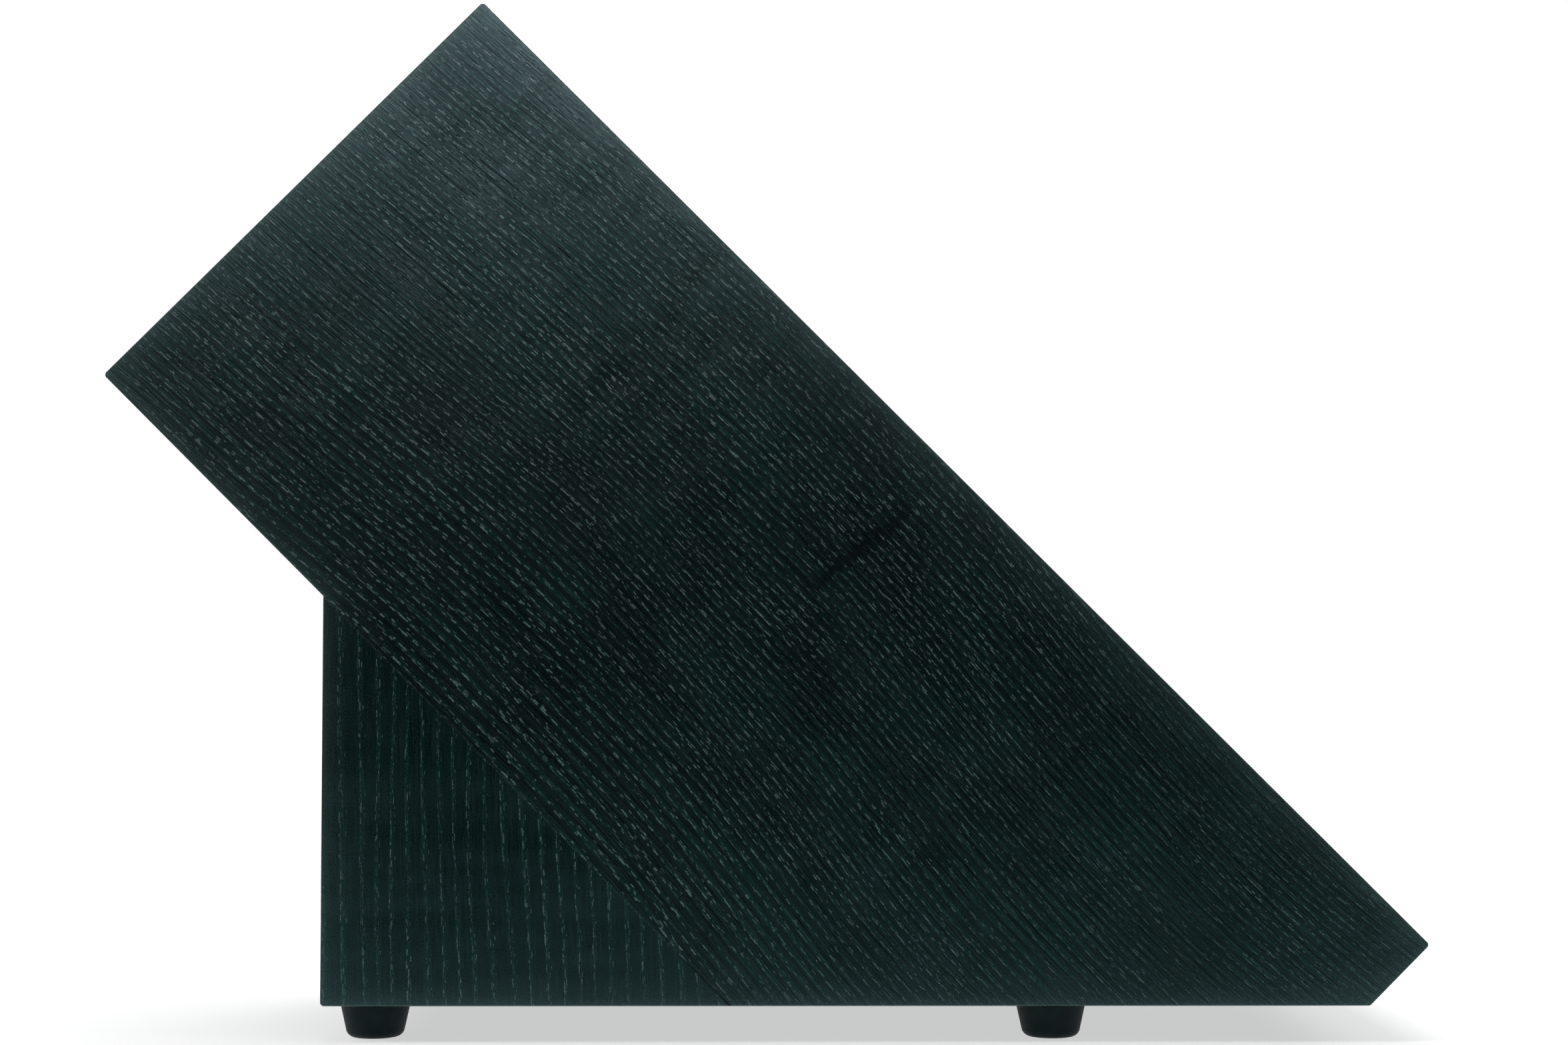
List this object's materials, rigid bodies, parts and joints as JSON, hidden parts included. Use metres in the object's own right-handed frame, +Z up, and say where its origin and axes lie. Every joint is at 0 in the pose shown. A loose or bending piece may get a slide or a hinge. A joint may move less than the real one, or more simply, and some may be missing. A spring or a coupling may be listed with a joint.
{
  "type": "knife block",
  "caption": "Slanted wooden block of laminated boards on a wedge and rubber feet, with blade slots, a shears slot and a steel channel in its raised end",
  "frame": {"origin": "on the surface the feet stand on, under the middle of the block", "axes": "+X runs from the raised, slotted end to the tail, +Y across the block to the left of a person facing the slots, +Z up"},
  "size_m": [0.2966, 0.0974, 0.2337],
  "materials": {
    "stained_ash": "satin",
    "beech_dowel": "matte",
    "foot_rubber": "matte",
    "plated_steel": "satin"
  },
  "bodies": {
    "root": {"right_cheek": "stained_ash", "left_cheek": "stained_ash", "right_divider": "stained_ash", "middle_divider": "stained_ash", "left_divider": "stained_ash", "chef_layer_lower_strip": "stained_ash", "chef_layer_middle_strip": "stained_ash", "chef_layer_upper_strip": "stained_ash", "bread_layer_lower_strip": "stained_ash", "bread_layer_middle_strip": "stained_ash", "bread_layer_upper_strip": "stained_ash", "carving_layer_lower_strip": "stained_ash", "carving_layer_middle_strip": "stained_ash", "carving_layer_upper_strip": "stained_ash", "tool_layer_lower_strip": "stained_ash", "tool_layer_middle_strip": "stained_ash", "tool_layer_upper_strip": "stained_ash", "utility_slot_stop": "stained_ash", "chef_slot_stop": "stained_ash", "paring_slot_stop": "stained_ash", "bread_slot_stop": "stained_ash", "boning_slot_stop": "stained_ash", "carving_slot_stop": "stained_ash", "shears_slot_stop": "stained_ash", "steel_slot_stop": "stained_ash", "right_wedge_board": "stained_ash", "middle_wedge_board": "stained_ash", "left_wedge_board": "stained_ash", "upper_dowel": "beech_dowel", "lower_dowel": "beech_dowel", "front_right_foot": "foot_rubber", "front_right_washer": "plated_steel", "front_right_screw": "plated_steel", "front_left_foot": "foot_rubber", "front_left_washer": "plated_steel", "front_left_screw": "plated_steel", "rear_right_foot": "foot_rubber", "rear_right_washer": "plated_steel", "rear_right_screw": "plated_steel", "rear_left_foot": "foot_rubber", "rear_left_washer": "plated_steel", "rear_left_screw": "plated_steel"}
  },
  "joints": []
}
